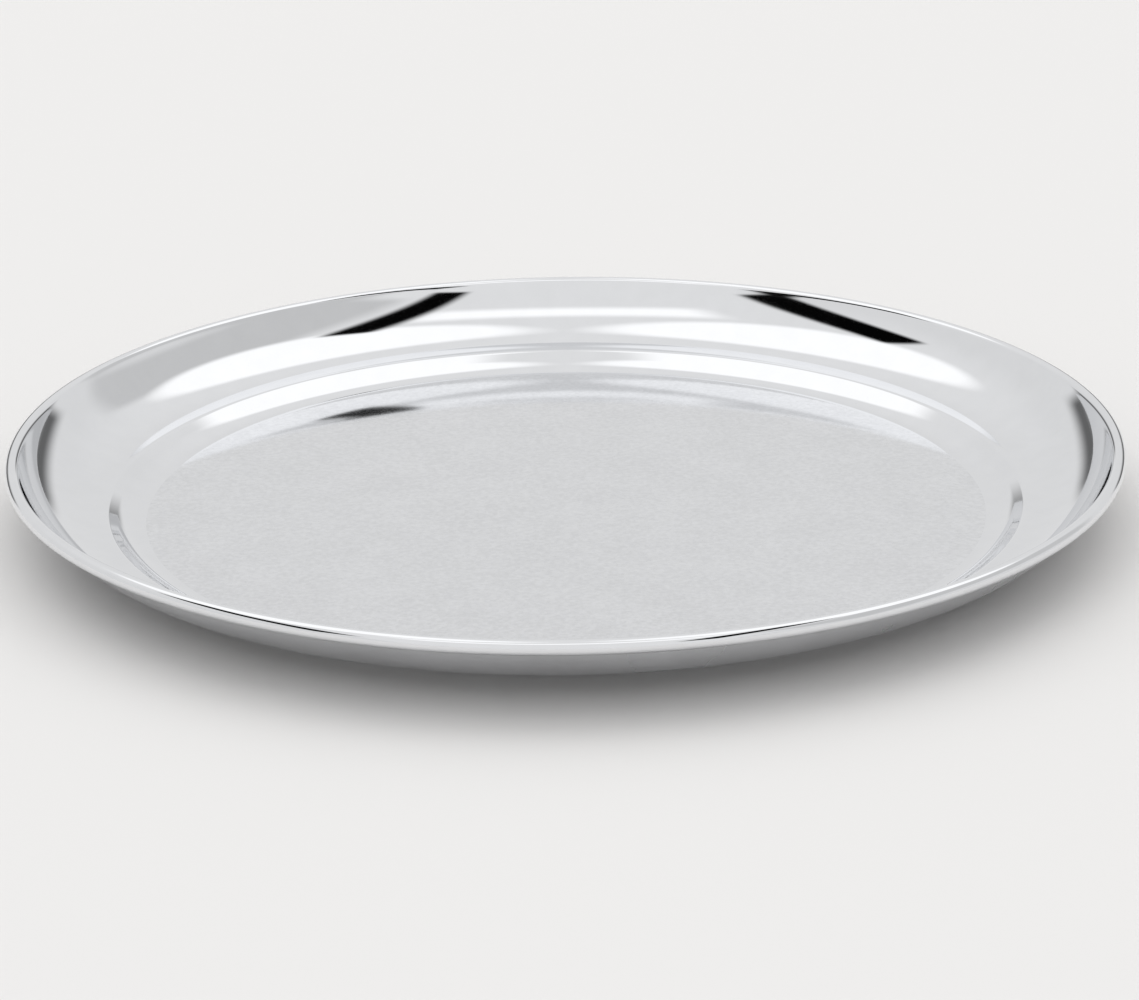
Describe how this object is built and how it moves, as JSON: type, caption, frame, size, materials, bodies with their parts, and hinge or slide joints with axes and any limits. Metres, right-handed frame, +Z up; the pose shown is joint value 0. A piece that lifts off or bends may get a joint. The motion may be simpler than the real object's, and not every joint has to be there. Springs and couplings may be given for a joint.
{
  "type": "serving tray",
  "caption": "Round polished steel serving tray with a flat floor, a short step, a narrow flange and a raised concave rim with a rolled edge.",
  "frame": {"origin": "under the middle of the floor, on the surface that the tray stands on", "axes": "+Z up, along the tray's axis of symmetry; X and Y lie in the standing surface and are alike, because the tray is round"},
  "size_m": [0.4, 0.4, 0.028],
  "materials": {
    "polished_steel": "mirror-polished 18/10 stainless steel sheet, with a very fine satin grain on the floor"
  },
  "bodies": {
    "root": {"tray_shell": "polished_steel"}
  },
  "joints": []
}
